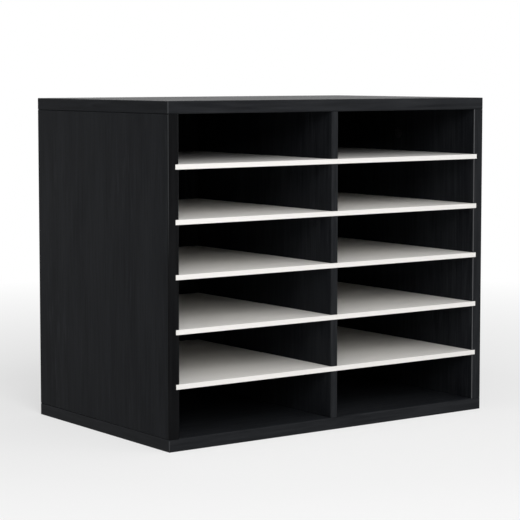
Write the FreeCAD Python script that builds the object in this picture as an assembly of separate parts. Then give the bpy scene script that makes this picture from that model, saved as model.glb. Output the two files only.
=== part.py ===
import FreeCAD, Part
import math
import os

os.makedirs("parts", exist_ok=True)

# Literature organizer: a case of black laminated boards with twelve compartments, made by one upright
# divider and five white shelves that slide in from the front and run through from side to side.
# Millimetres, +Z up, front towards -Y, origin on the floor under the middle of the case.

# Case boards
case_width = 490.0
case_depth = 305.0
case_height = 410.0
board_thickness = 15.0

# Plastic bands glued on the edges of the boards
band_thickness = 2.0
arris_radius = 1.5
shelf_band_thickness = 0.6
shelf_arris_radius = 0.4

# Divider, housed in grooves that stop short of the front
divider_thickness = 10.0
divider_groove_depth = 4.0
divider_groove_stop = 20.0
divider_play = 0.15
divider_end_play = 0.5

# Shelves, which slide in grooves in the side boards and halve over the divider
shelf_count = 5
shelf_thickness = 6.0
shelf_play = 0.25
shelf_end_play = 0.3
side_groove_depth = 5.0
lap_depth = 148.0
lap_play = 0.5

# Back board, in grooves near the rear edges
back_thickness = 3.0
back_inset = 8.0
back_groove_depth = 5.0
back_play = 0.2
back_edge_play = 0.5
rear_play = 0.5

# Cam fitting at each corner: a bolt in the top or bottom board, and a cam in the side board to hold it
cam_setback = 34.0
cam_diameter = 15.0
cam_skin = 2.5
cam_floor_play = 0.4
cam_face_recess = 0.3
cam_pocket_radius = 5.3
cam_pocket_offset = 0.5
bolt_diameter = 5.0
bolt_in_face = 10.5
bolt_head_diameter = 7.0
bolt_head_length = 3.6
bolt_bore_play = 1.0
bolt_play = 0.3
driver_span = 6.0
driver_blade = 1.4
driver_depth = 2.4

# Wooden dowels in front of each cam fitting and behind it
dowel_spacing = 192.0
dowel_diameter = 8.0
dowel_length = 30.0
dowel_in_face = 10.0

# Play round what sits in a hole, and how much deeper the hole is
hole_play = 0.1
hole_spare = 1.0

# How far a cutting shape runs past an open face
overcut = 2.0

# Places that follow from the sizes above
case_left = -case_width / 2
case_right = case_width / 2
case_front = -case_depth / 2
case_rear = case_depth / 2
inner_left = case_left + board_thickness
inner_right = case_right - board_thickness
inner_bottom = board_thickness
inner_top = case_height - board_thickness
side_middle = case_left + board_thickness / 2
back_face = case_rear - back_inset - back_thickness
lap_line = case_front + lap_depth
row_height = (inner_top - inner_bottom - shelf_count * shelf_thickness) / (shelf_count + 1)
shelf_tops = [inner_top - row_height - i * (row_height + shelf_thickness) for i in range(shelf_count)]
cam_axis = inner_top - cam_setback
dowel_rows = (-dowel_spacing / 2, dowel_spacing / 2)

RIGHT = FreeCAD.Vector(1, 0, 0)
UP = FreeCAD.Vector(0, 0, 1)
SAME_PLACE = 1e-6


def grown(span, amount):
    """A (low, high) pair made longer at both ends."""
    return (span[0] - amount, span[1] + amount)


def about(middle, half):
    """The (low, high) pair at equal distances from a middle."""
    return (middle - half, middle + half)


def block(x, y, z):
    """A box between the (low, high) pairs of the three directions."""
    return Part.makeBox(x[1] - x[0], y[1] - y[0], z[1] - z[0], FreeCAD.Vector(x[0], y[0], z[0]))


def rod(diameter, start, direction, length):
    """A cylinder from a point."""
    return Part.makeCylinder(diameter / 2, length, start, direction)


def edges_on(solid, *planes):
    """The edges that lie on one of the (axis, value) planes."""

    def lies_on(edge, axis, value):
        return abs(getattr(edge.CenterOfMass, axis) - value) < SAME_PLACE

    return [edge for edge in solid.Edges if any(lies_on(edge, *plane) for plane in planes)]


def cut(solids, tools):
    """The solids with the tools taken out."""
    return [piece for solid in solids for piece in solid.cut(tools).Solids]


def portion(whole, x, y, z):
    """The part of a solid inside a box."""
    return whole.common(block(x, y, z)).Solids


def flipped_x(solids):
    """The same solids on the other side of the case."""
    return [solid.mirror(FreeCAD.Vector(), RIGHT) for solid in solids]


def flipped_z(solids):
    """The same solids at the other end of the case, top or bottom."""
    return [solid.mirror(FreeCAD.Vector(0, 0, case_height / 2), UP) for solid in solids]


def shelf_room(top):
    """The space that one shelf needs in the case, as far as the floors of both side grooves."""
    x = grown((inner_left, inner_right), side_groove_depth)
    z = grown((top - shelf_thickness, top), shelf_play)
    return block(x, (case_front - overcut, back_face), z)


def divider_slot(top):
    """The slot in the divider's front half that one shelf goes into."""
    z = grown((top - shelf_thickness, top), shelf_play)
    return block(about(0, divider_thickness / 2 + overcut), (case_front - overcut, lap_line), z)


def shelf_slot(top, shelf_rear):
    """The slot in a shelf's rear half that goes over the divider."""
    y = (lap_line - lap_play, shelf_rear + overcut)
    z = grown((top - shelf_thickness, top), overcut)
    return block(about(0, divider_thickness / 2 + shelf_play), y, z)


def divider_room():
    """The space that the divider needs in its two grooves."""
    y = (case_front + divider_groove_stop, back_face)
    z = grown((inner_bottom, inner_top), divider_groove_depth)
    return block(about(0, divider_thickness / 2 + divider_play), y, z)


def back_room():
    """The space that the back board needs, as far as the floors of its four grooves."""
    x = grown((inner_left, inner_right), back_groove_depth)
    z = grown((inner_bottom, inner_top), back_groove_depth)
    return block(x, grown((back_face, back_face + back_thickness), back_play), z)


def dowel(y):
    """A dowel between the top board and the left side board."""
    start = FreeCAD.Vector(side_middle, y, inner_top + dowel_in_face - dowel_length)
    return rod(dowel_diameter, start, UP, dowel_length)


def dowel_hole(y):
    """The hole for a dowel, with some spare length at both ends."""
    start = FreeCAD.Vector(side_middle, y, inner_top + dowel_in_face - dowel_length - hole_spare)
    return rod(dowel_diameter + 2 * hole_play, start, UP, dowel_length + 2 * hole_spare)


def cam_bolt():
    """A bolt screwed into the top board, whose head hangs in the pocket of its cam."""
    pocket_reach = math.sqrt(cam_pocket_radius**2 - (bolt_head_diameter / 2) ** 2)
    neck = FreeCAD.Vector(side_middle, 0, cam_axis - cam_pocket_offset + pocket_reach)
    shank = rod(bolt_diameter, neck, UP, inner_top + bolt_in_face - neck.z)
    head = rod(bolt_head_diameter, neck, -UP, bolt_head_length)
    return shank.fuse(head)


def bolt_hole():
    """The hole in the top board for the bolt."""
    start = FreeCAD.Vector(side_middle, 0, inner_top - overcut)
    return rod(bolt_diameter + 2 * hole_play, start, UP, overcut + bolt_in_face + hole_spare)


def bolt_bore():
    """The bore down the end of the side board that the bolt passes, as far as the cam."""
    start = FreeCAD.Vector(side_middle, 0, cam_axis)
    return rod(bolt_head_diameter + bolt_bore_play, start, UP, cam_setback + overcut)


def cam_bore():
    """The blind bore for the cam in the side board's inner face."""
    start = FreeCAD.Vector(case_left + cam_skin, 0, cam_axis)
    return rod(cam_diameter + 2 * hole_play, start, RIGHT, board_thickness - cam_skin + overcut)


def cam_lock():
    """A cam with an off-centre pocket, a slot round half its rim for the bolt's shank, a wide notch at
    the far end of the slot that lets the bolt's head in, and a cross recess for the driver."""
    back = case_left + cam_skin + cam_floor_play
    face = inner_left - cam_face_recess
    head_gap = bolt_head_diameter / 2 + bolt_play
    shank_gap = bolt_diameter / 2 + bolt_play
    past_rim = cam_diameter / 2 + overcut
    above = (cam_axis, cam_axis + past_rim)
    below = (cam_axis - past_rim, cam_axis)
    body = rod(cam_diameter, FreeCAD.Vector(back, 0, cam_axis), RIGHT, face - back)
    pocket_start = FreeCAD.Vector(side_middle - head_gap, 0, cam_axis - cam_pocket_offset)
    pocket = rod(2 * cam_pocket_radius, pocket_start, RIGHT, 2 * head_gap)
    locked_slot = block(about(side_middle, shank_gap), (-shank_gap, past_rim), above)
    turning_slot = block(about(side_middle, shank_gap), (0, past_rim), below)
    head_notch = block(about(side_middle, head_gap), about(0, head_gap), below)
    recess = (face - driver_depth, face + overcut)
    upright = block(recess, about(0, driver_blade / 2), about(cam_axis, driver_span / 2))
    level = block(recess, about(0, driver_span / 2), about(cam_axis, driver_blade / 2))
    return cut([body], [pocket, locked_slot, turning_slot, head_notch, upright, level])[0]


def top_board():
    """The top board and its four edge bands. Its under side takes the bolts, the dowels, the divider
    and the back."""
    x = (case_left, case_right)
    y = (case_front, case_rear)
    z = (inner_top, case_height)
    core_x = grown(x, -band_thickness)
    core_y = grown(y, -band_thickness)
    whole = block(x, y, z)
    rims = edges_on(whole, ("z", z[0]), ("z", z[1]))
    corners = [edge for edge in whole.Edges if abs(edge.tangentAt(0).z) > SAME_PLACE]
    whole = whole.makeFillet(arris_radius, rims).common(whole.makeFillet(arris_radius, corners))
    left_holes = [bolt_hole()] + [dowel_hole(row) for row in dowel_rows]
    tools = left_holes + flipped_x(left_holes) + [divider_room(), back_room()]
    return {
        "board": cut(portion(whole, core_x, core_y, z), tools),
        "front_band": portion(whole, x, (case_front, core_y[0]), z),
        "rear_band": portion(whole, x, (core_y[1], case_rear), z),
        "left_band": portion(whole, (case_left, core_x[0]), core_y, z),
        "right_band": portion(whole, (core_x[1], case_right), core_y, z),
    }


def side_board():
    """The left side board and its two edge bands. The shelf grooves run out through the front band."""
    x = (case_left, inner_left)
    y = (case_front, case_rear)
    z = (inner_bottom, inner_top)
    core_y = grown(y, -band_thickness)
    whole = block(x, y, z)
    corners = [edge for edge in whole.Edges if abs(edge.tangentAt(0).z) > SAME_PLACE]
    outer_edges = edges_on(whole, ("x", case_left))
    ends = [edge for edge in outer_edges if abs(edge.tangentAt(0).z) < SAME_PLACE]
    whole = whole.makeFillet(arris_radius, corners + ends)
    grooves = [shelf_room(top) for top in shelf_tops]
    top_bores = [bolt_bore(), cam_bore()] + [dowel_hole(row) for row in dowel_rows]
    tools = grooves + top_bores + flipped_z(top_bores) + [back_room()]
    return {
        "board": cut(portion(whole, x, core_y, z), tools),
        "front_band": cut(portion(whole, x, (case_front, core_y[0]), z), grooves),
        "rear_band": portion(whole, x, (core_y[1], case_rear), z),
    }


def divider():
    """The upright divider, and the short bands between the slots in its front edge."""
    x = about(0, divider_thickness / 2)
    z = (inner_bottom, inner_top)
    rear = back_face - rear_play
    core_front = case_front + band_thickness
    whole = block(x, (case_front, rear), z)
    front_edges = edges_on(whole, ("y", case_front))
    corners = [edge for edge in front_edges if abs(edge.tangentAt(0).z) > SAME_PLACE]
    whole = whole.makeFillet(arris_radius, corners)
    slots = [divider_slot(top) for top in shelf_tops]
    tongue_y = (case_front + divider_groove_stop + divider_end_play, rear)
    tongue = block(x, tongue_y, grown(z, divider_groove_depth - divider_end_play))
    core = portion(whole, x, (core_front, rear), z)[0].fuse(tongue).removeSplitter()
    return {
        "divider": cut([core], slots),
        "divider_bands": cut(portion(whole, x, (case_front, core_front), z), slots),
    }


def back_board():
    """The thin back, in the grooves of the four case boards."""
    reach = back_groove_depth - back_edge_play
    x = grown((inner_left, inner_right), reach)
    z = grown((inner_bottom, inner_top), reach)
    return {"back_board": [block(x, (back_face, back_face + back_thickness), z)]}


def shelf(name, top):
    """A shelf that runs from groove to groove, and the band on its front edge."""
    x = grown((inner_left, inner_right), side_groove_depth - shelf_end_play)
    y = (case_front, back_face - rear_play)
    z = (top - shelf_thickness, top)
    core_front = case_front + shelf_band_thickness
    whole = block(x, y, z)
    front_edges = edges_on(whole, ("y", case_front))
    long_edges = [edge for edge in front_edges if abs(edge.tangentAt(0).x) > SAME_PLACE]
    whole = whole.makeFillet(shelf_arris_radius, long_edges)
    return {
        name: cut(portion(whole, x, (core_front, y[1]), z), [shelf_slot(top, y[1])]),
        name + "_band": portion(whole, x, (case_front, core_front), z),
    }


def side_fittings():
    """What joins the left side board to the top board and to the bottom board."""
    at_top = {
        "cam_bolts": [cam_bolt()],
        "cam_locks": [cam_lock()],
        "dowels": [dowel(row) for row in dowel_rows],
    }
    return {name: solids + flipped_z(solids) for name, solids in at_top.items()}


def save(name, solids):
    shape = solids[0] if len(solids) == 1 else Part.Compound(solids)
    shape.exportStep("parts/" + name + ".step")


pieces = {}
for name, solids in top_board().items():
    pieces["top_" + name] = solids
    pieces["bottom_" + name] = flipped_z(solids)
for name, solids in side_board().items():
    pieces["left_side_" + name] = solids
    pieces["right_side_" + name] = flipped_x(solids)
pieces.update(divider())
pieces.update(back_board())
for number, top in enumerate(shelf_tops, start=1):
    pieces.update(shelf("shelf_" + str(number), top))
for name, solids in side_fittings().items():
    pieces["left_" + name] = solids
    pieces["right_" + name] = flipped_x(solids)

for name, solids in pieces.items():
    save(name, solids)
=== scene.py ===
import math

import bpy
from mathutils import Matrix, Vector


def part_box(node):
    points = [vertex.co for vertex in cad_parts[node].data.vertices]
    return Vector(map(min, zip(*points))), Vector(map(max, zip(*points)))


# Literature organizer: black wood-grain boards and white shelves, in metres, +Z up, front towards -Y.

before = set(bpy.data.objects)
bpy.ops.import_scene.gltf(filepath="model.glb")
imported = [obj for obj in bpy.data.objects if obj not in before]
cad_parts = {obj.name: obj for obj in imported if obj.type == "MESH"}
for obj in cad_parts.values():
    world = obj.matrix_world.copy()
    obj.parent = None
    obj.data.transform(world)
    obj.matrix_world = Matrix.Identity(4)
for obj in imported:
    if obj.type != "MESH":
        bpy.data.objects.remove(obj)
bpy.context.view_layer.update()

# Camera: angles in degrees, lens and sensor in millimetres
CAMERA_PLACE = (-1.415, -1.945, 0.443)
CAMERA_YAW = -35.97
CAMERA_PITCH = -4.98
CAMERA_LENS = 128.6
CAMERA_SENSOR = 36.0
CAMERA_SHIFT_Y = -0.05

# Which way the grain of each piece runs
ALONG_X = (1, 0, 0)
ALONG_Y = (0, 1, 0)
ALONG_Z = (0, 0, 1)

# Wood grain of the black laminate: spots to the metre across the grain and along it
FIGURE = (30, 5)
STREAKS = (260, 14)
PORES = (1100, 45)
LINES = (230, 20)
LINE_PATCHES = (13, 5)
FIGURE_SHARE = 0.40
PORE_SHARE = 0.6
LINE_STRENGTH = 0.8
LAMINATE_RELIEF = 0.0003
LAMINATE_BUMP = 0.22
LAMINATE_ROUGHNESS = (0.35, 0.48)

# Texture of the white boards: spots to the metre across X and along it
CLOUD = (14, 5)
PEBBLE = (1400, 500)
CLOUD_SHADE = 0.975
PEBBLE_RELIEF = 0.0002
PEBBLE_BUMP = 0.10
SMOOTHER = -0.04
ROUGHER = 0.06

# Fibres of a raw board edge: spots to the metre along the edge and through the thickness
FIBRES = (900, 350)

# Upright edges: down to what height their rounding gets a painted highlight, over how much height it
# fades, and the same for the foot of the case, which gets the painted highlight as well
HIGHLIGHT_DOWN_TO = 0.22
HIGHLIGHT_ALL_DOWN = -0.1
NO_HIGHLIGHT = 1.0
HIGHLIGHT_FADE = 0.08
FOOT_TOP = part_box("bottom_board")[1][2]
FOOT_FADE = 0.002

# Parts of the surface's direction: the larger level part, on a flat face and well round an edge, and
# the Z part, on a slanting and on an upright edge
FLAT_FACE = 0.98
WELL_ROUND = 0.86
SLANTING = 0.25
UPRIGHT = 0.10

# Colours of the black pieces, from the dark of the print to its light, and the painted highlight of their
# edges
BOARD_DARK = (0.0055, 0.0062, 0.0076)
BOARD_LIGHT = (0.0158, 0.0171, 0.0195)
BAND_DARK = (0.0103, 0.0111, 0.0126)
BAND_LIGHT = (0.0225, 0.0237, 0.0261)
# Darker copy of the band colours for the left front band: painted shade, as if that edge took less light
SHADED_BAND_DARK = (0.0034, 0.0035, 0.0039)
SHADED_BAND_LIGHT = (0.0077, 0.0079, 0.0085)
# Painted highlight along edge roundings: the usual one, a faint one and a strong one
PAINTED_HIGHLIGHT = (0.046, 0.048, 0.051)
FAINT_PAINTED_HIGHLIGHT = (0.034, 0.036, 0.038)
STRONG_PAINTED_HIGHLIGHT = (0.082, 0.084, 0.087)
SIDE_IOR = 1.09
TOP_IOR = 1.15

# Colours and roughness of the shelves
WHITE_BOARD = (0.82, 0.806, 0.778)
WHITE_BAND = (0.84, 0.822, 0.794)
BOARD_ROUGHNESS = 0.45
BAND_ROUGHNESS = 0.38
FIBRE_DARK = (0.16, 0.105, 0.062)
FIBRE_LIGHT = (0.30, 0.21, 0.135)

# Colours of the fittings
BEECH_DARK = (0.52, 0.37, 0.21)
BEECH_LIGHT = (0.68, 0.52, 0.33)
ZINC_DARK = (0.010, 0.010, 0.011)
ZINC_LIGHT = (0.022, 0.022, 0.024)
STEEL_DARK = (0.50, 0.50, 0.51)
STEEL_LIGHT = (0.62, 0.62, 0.63)

# Floor: its shading, shadow too, fades into plain white with the distance from the case
FLOOR_HALF = 9.0
FLOOR_COLOUR = (0.88, 0.88, 0.88, 1)
FADE_FROM = 0.45
FADE_TO = 1.6
WHITE_NEAR_CASE = 0.60

# Level at which the white surroundings light the case
WORLD_LIGHT = 0.26


def add(tree, kind, inputs=None, **settings):
    """A node with its settings, and its sockets set or linked."""
    node = tree.nodes.new(kind)
    for name, value in settings.items():
        setattr(node, name, value)
    for name, value in (inputs or {}).items():
        socket = node.inputs[name]
        if isinstance(value, bpy.types.NodeSocket):
            tree.links.new(value, socket)
        else:
            socket.default_value = value
    return node


def new_material(name):
    """A material with a plain surface shader, and its tree."""
    material = bpy.data.materials.new(name)
    material.use_nodes = True
    tree = material.node_tree
    return material, tree, tree.nodes["Principled BSDF"]


def noise(tree, place, spots, grain, detail=2.0, roughness=0.5, distortion=0.0):
    """Noise whose spots are drawn out along the grain. Spots are to the metre, across and along."""
    across, along = spots
    scale = [along if axis else across for axis in grain]
    stretched = add(tree, "ShaderNodeMapping", {"Vector": place, "Scale": scale})
    inputs = {
        "Vector": stretched.outputs[0],
        "Scale": 1.0,
        "Detail": detail,
        "Roughness": roughness,
        "Distortion": distortion,
    }
    return add(tree, "ShaderNodeTexNoise", inputs).outputs["Fac"]


def math_node(tree, operation, first, second):
    """Two values put together."""
    return add(tree, "ShaderNodeMath", {0: first, 1: second}, operation=operation).outputs[0]


def mix_values(tree, share, low, high):
    """A value between two others."""
    inputs = {0: share, 2: low, 3: high}
    return add(tree, "ShaderNodeMix", inputs, data_type="FLOAT").outputs[0]


def ramp(tree, value, low, high, to_low=0.0, to_high=1.0):
    """A value stretched from one range to another, and kept in it."""
    inputs = {"Value": value, "From Min": low, "From Max": high, "To Min": to_low, "To Max": to_high}
    return add(tree, "ShaderNodeMapRange", inputs).outputs["Result"]


def colour_input(colour):
    """A colour as a socket takes it: another socket as it is, and (r, g, b) with an alpha."""
    return colour if isinstance(colour, bpy.types.NodeSocket) else (*colour, 1)


def blend_colours(tree, share, first, second):
    """A colour between two, each an (r, g, b) or a socket."""
    inputs = {0: share, 6: colour_input(first), 7: colour_input(second)}
    return add(tree, "ShaderNodeMix", inputs, data_type="RGBA").outputs["Result"]


def place_on_piece(tree):
    """The place on the piece in metres."""
    return add(tree, "ShaderNodeTexCoord").outputs["Object"]


def direction_parts(tree):
    """The X, Y and Z parts of the surface's direction, all taken as positive."""
    normal = add(tree, "ShaderNodeTexCoord").outputs["Normal"]
    size = add(tree, "ShaderNodeVectorMath", {0: normal}, operation="ABSOLUTE").outputs["Vector"]
    return add(tree, "ShaderNodeSeparateXYZ", {0: size}).outputs


def painted_edge_highlight(tree, highlight_down_to):
    """One where an upright edge's rounding gets a painted highlight: its upper part, and the case's foot.
    """
    parts = direction_parts(tree)
    largest = math_node(tree, "MAXIMUM", parts["X"], parts["Y"])
    rounding = ramp(tree, largest, FLAT_FACE, WELL_ROUND)
    upright = ramp(tree, parts["Z"], SLANTING, UPRIGHT)
    height = add(tree, "ShaderNodeSeparateXYZ", {0: place_on_piece(tree)}).outputs["Z"]
    above = ramp(tree, height, highlight_down_to, highlight_down_to + HIGHLIGHT_FADE)
    foot = ramp(tree, height, FOOT_TOP, FOOT_TOP - FOOT_FADE)
    highlit_height = math_node(tree, "MAXIMUM", above, foot)
    return math_node(tree, "MULTIPLY", math_node(tree, "MULTIPLY", rounding, upright), highlit_height)


def black_laminate(name, grain, dark, light, ior=SIDE_IOR, highlight_colour=PAINTED_HIGHLIGHT, highlight_down_to=HIGHLIGHT_DOWN_TO):
    """Black laminate printed and pressed with wood grain: broad figure, fine streaks, short pores."""
    material, tree, surface = new_material(name)
    place = place_on_piece(tree)
    figure = noise(tree, place, FIGURE, grain, detail=3, distortion=0.8)
    streaks = noise(tree, place, STREAKS, grain, detail=4, roughness=0.6)
    pores = ramp(tree, noise(tree, place, PORES, grain), 0.56, 0.70)
    lines = ramp(tree, noise(tree, place, LINES, grain), 0.57, 0.70)
    patches = ramp(tree, noise(tree, place, LINE_PATCHES, grain, detail=1), 0.46, 0.62, 0.0, LINE_STRENGTH)
    print_tone = ramp(tree, mix_values(tree, FIGURE_SHARE, streaks, figure), 0.34, 0.66)
    tone = math_node(tree, "ADD", print_tone, math_node(tree, "MULTIPLY", lines, patches))
    printed = blend_colours(tree, tone, dark, light)
    # Painted highlight along the upright edge roundings, lighter than the print
    colour = blend_colours(tree, painted_edge_highlight(tree, highlight_down_to), printed, highlight_colour)
    tree.links.new(colour, surface.inputs["Base Color"])
    tree.links.new(ramp(tree, streaks, 0.3, 0.7, *LAMINATE_ROUGHNESS), surface.inputs["Roughness"])
    surface.inputs["IOR"].default_value = ior
    relief = mix_values(tree, PORE_SHARE, streaks, pores)
    inputs = {"Strength": LAMINATE_BUMP, "Distance": LAMINATE_RELIEF, "Height": relief}
    bump = add(tree, "ShaderNodeBump", inputs)
    tree.links.new(bump.outputs[0], surface.inputs["Normal"])
    return material


def white_melamine(name, colour, roughness, raw_edges):
    """White melamine with a fine pressed texture, and brown fibreboard where an edge has no band."""
    material, tree, surface = new_material(name)
    place = place_on_piece(tree)
    cloud = noise(tree, place, CLOUD, ALONG_X)
    pebble = noise(tree, place, PEBBLE, ALONG_X)
    darker = tuple(CLOUD_SHADE * part for part in colour)
    finish = blend_colours(tree, ramp(tree, cloud, 0.3, 0.7), darker, colour)
    if raw_edges:
        grain = noise(tree, place, FIBRES, ALONG_Z, detail=4, roughness=0.7)
        fibres = blend_colours(tree, ramp(tree, grain, 0.3, 0.7), FIBRE_DARK, FIBRE_LIGHT)
        finish = blend_colours(tree, direction_parts(tree)["Z"], fibres, finish)
    tree.links.new(finish, surface.inputs["Base Color"])
    pebbled = ramp(tree, pebble, 0.3, 0.7, roughness + SMOOTHER, roughness + ROUGHER)
    tree.links.new(pebbled, surface.inputs["Roughness"])
    inputs = {"Strength": PEBBLE_BUMP, "Distance": PEBBLE_RELIEF, "Height": pebble}
    bump = add(tree, "ShaderNodeBump", inputs)
    tree.links.new(bump.outputs[0], surface.inputs["Normal"])
    return material


def plain_wood(name, grain, dark, light):
    """Plain wood with fine streaks."""
    material, tree, surface = new_material(name)
    streaks = noise(tree, place_on_piece(tree), (900, 40), grain, detail=3)
    colour = blend_colours(tree, ramp(tree, streaks, 0.3, 0.7), dark, light)
    tree.links.new(colour, surface.inputs["Base Color"])
    surface.inputs["Roughness"].default_value = 0.6
    return material


def cast_metal(name, dark, light, roughness, metallic):
    """Metal with the faint mottle of a casting or plating."""
    material, tree, surface = new_material(name)
    mottle = noise(tree, place_on_piece(tree), (700, 700), ALONG_Z, detail=3)
    colour = blend_colours(tree, ramp(tree, mottle, 0.35, 0.65), dark, light)
    tree.links.new(colour, surface.inputs["Base Color"])
    mottled = ramp(tree, mottle, 0.3, 0.7, roughness - 0.06, roughness + 0.08)
    tree.links.new(mottled, surface.inputs["Roughness"])
    surface.inputs["Metallic"].default_value = metallic
    return material


def dress():
    """Each CAD piece gets its finish, with the grain running as the board was cut."""
    board = {}
    band = {}
    for letter, axis in (("x", ALONG_X), ("y", ALONG_Y), ("z", ALONG_Z)):
        ior = TOP_IOR if axis == ALONG_X else SIDE_IOR
        board[letter] = black_laminate("black_laminate_" + letter, axis, BOARD_DARK, BOARD_LIGHT, ior)
        band[letter] = black_laminate("black_band_" + letter, axis, BAND_DARK, BAND_LIGHT)
    # The left front band: darker colours as painted shade, and a faint painted highlight on its edges
    shaded_left_front = black_laminate(
        "black_band_left_shaded", ALONG_Z, SHADED_BAND_DARK, SHADED_BAND_LIGHT, highlight_colour=FAINT_PAINTED_HIGHLIGHT
    )
    # The right front band: a strong painted highlight on its edge roundings, at all heights
    right_front = black_laminate(
        "black_band_right", ALONG_Z, BAND_DARK, BAND_LIGHT, highlight_colour=STRONG_PAINTED_HIGHLIGHT, highlight_down_to=HIGHLIGHT_ALL_DOWN
    )
    # The divider's front bands: no painted highlight above the case's foot
    divider_front = black_laminate(
        "black_band_divider", ALONG_Z, BAND_DARK, BAND_LIGHT, highlight_down_to=NO_HIGHLIGHT
    )
    front_bands = {
        "left_side_front_band": shaded_left_front,
        "right_side_front_band": right_front,
        "divider_bands": divider_front,
    }
    white = white_melamine("white_melamine", WHITE_BOARD, BOARD_ROUGHNESS, raw_edges=True)
    white_edge = white_melamine("white_edge_band", WHITE_BAND, BAND_ROUGHNESS, raw_edges=False)
    dowel = plain_wood("beech", ALONG_Z, BEECH_DARK, BEECH_LIGHT)
    cam = cast_metal("blackened_zinc", ZINC_DARK, ZINC_LIGHT, 0.42, 0.0)
    bolt = cast_metal("plated_steel", STEEL_DARK, STEEL_LIGHT, 0.32, 1.0)
    for name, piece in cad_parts.items():
        if name.startswith("shelf"):
            finish = white_edge if name.endswith("band") else white
        elif name.endswith("dowels"):
            finish = dowel
        elif name.endswith("cam_locks"):
            finish = cam
        elif name.endswith("cam_bolts"):
            finish = bolt
        elif name in front_bands:
            finish = front_bands[name]
        else:
            # The bottom board's end bands take the paler band colours as painted light, as from the bright
            # floor below
            paler = name.endswith("front_band") or name in ("bottom_left_band", "bottom_right_band")
            family = band if paler else board
            across = name.startswith(("top", "bottom"))
            letter = "y" if name.endswith(("left_band", "right_band")) else "x" if across else "z"
            finish = family[letter]
        for slot in piece.material_slots:
            slot.material = finish


def seen_directly(tree):
    """One for rays from the camera, and for what gloss or glass shows, and otherwise zero."""
    path = add(tree, "ShaderNodeLightPath")
    seen = path.outputs["Is Camera Ray"]
    for kind in ("Is Glossy Ray", "Is Transmission Ray"):
        seen = math_node(tree, "MAXIMUM", seen, path.outputs[kind])
    return seen


def make_floor():
    """A plain pale floor with the case's shadow, which turns into the white of the surroundings."""
    mesh = bpy.data.meshes.new("floor")
    corners = [
        (-FLOOR_HALF, -FLOOR_HALF, 0),
        (FLOOR_HALF, -FLOOR_HALF, 0),
        (FLOOR_HALF, FLOOR_HALF, 0),
        (-FLOOR_HALF, FLOOR_HALF, 0),
    ]
    mesh.from_pydata(corners, [], [(0, 1, 2, 3)])
    floor = bpy.data.objects.new("floor", mesh)
    bpy.context.scene.collection.objects.link(floor)
    material, tree, surface = new_material("floor_white")
    surface.inputs["Base Color"].default_value = FLOOR_COLOUR
    surface.inputs["Roughness"].default_value = 0.9
    surface.inputs["Specular IOR Level"].default_value = 0.0
    place = place_on_piece(tree)
    away = add(tree, "ShaderNodeVectorMath", {0: place}, operation="LENGTH").outputs["Value"]
    share = ramp(tree, away, FADE_FROM, FADE_TO, WHITE_NEAR_CASE, 1.0)
    lift = math_node(tree, "MULTIPLY", seen_directly(tree), share)
    white = add(tree, "ShaderNodeEmission", {"Color": (1, 1, 1, 1), "Strength": 1.0}).outputs[0]
    mixed = add(tree, "ShaderNodeMixShader", {0: lift, 1: surface.outputs[0], 2: white}).outputs[0]
    tree.links.new(mixed, tree.nodes["Material Output"].inputs["Surface"])
    mesh.materials.append(material)


def make_world():
    """White where it is seen or mirrored, and a softer level where it lights."""
    world = bpy.data.worlds.new("studio")
    bpy.context.scene.world = world
    world.use_nodes = True
    tree = world.node_tree
    background = tree.nodes["Background"]
    background.inputs["Color"].default_value = (1, 1, 1, 1)
    strength = mix_values(tree, seen_directly(tree), WORLD_LIGHT, 1.0)
    tree.links.new(strength, background.inputs["Strength"])


def softbox(name, place, aim, width, height, power):
    """A rectangular soft light, its power in watts."""
    lamp = bpy.data.lights.new(name, "AREA")
    lamp.shape = "RECTANGLE"
    lamp.size = width
    lamp.size_y = height
    lamp.energy = power
    light = bpy.data.objects.new(name, lamp)
    light.location = place
    light.rotation_euler = (Vector(aim) - Vector(place)).to_track_quat("-Z", "Y").to_euler()
    bpy.context.scene.collection.objects.link(light)


def make_camera():
    """The camera, level from side to side."""
    data = bpy.data.cameras.new("camera")
    data.lens = CAMERA_LENS
    data.sensor_width = CAMERA_SENSOR
    data.shift_y = CAMERA_SHIFT_Y
    camera = bpy.data.objects.new("camera", data)
    camera.location = CAMERA_PLACE
    camera.rotation_euler = (math.radians(90 + CAMERA_PITCH), 0, math.radians(CAMERA_YAW))
    bpy.context.scene.collection.objects.link(camera)
    bpy.context.scene.camera = camera


dress()
make_floor()
make_world()
softbox("key", place=(-1.1, -2.2, 1.3), aim=(0, -0.1, 0.2), width=1.2, height=1.0, power=31)
softbox("high", place=(-0.7, -1.9, 1.9), aim=(0, -0.1, 0.2), width=1.4, height=1.6, power=10)
softbox("fill", place=(1.9, -2.3, 0.9), aim=(0, -0.1, 0.25), width=1.0, height=0.9, power=6)
softbox("top", place=(-0.1, -0.9, 2.2), aim=(0, 0, 0), width=1.8, height=1.8, power=11)
make_camera()
bpy.context.scene.view_settings.view_transform = "Standard"
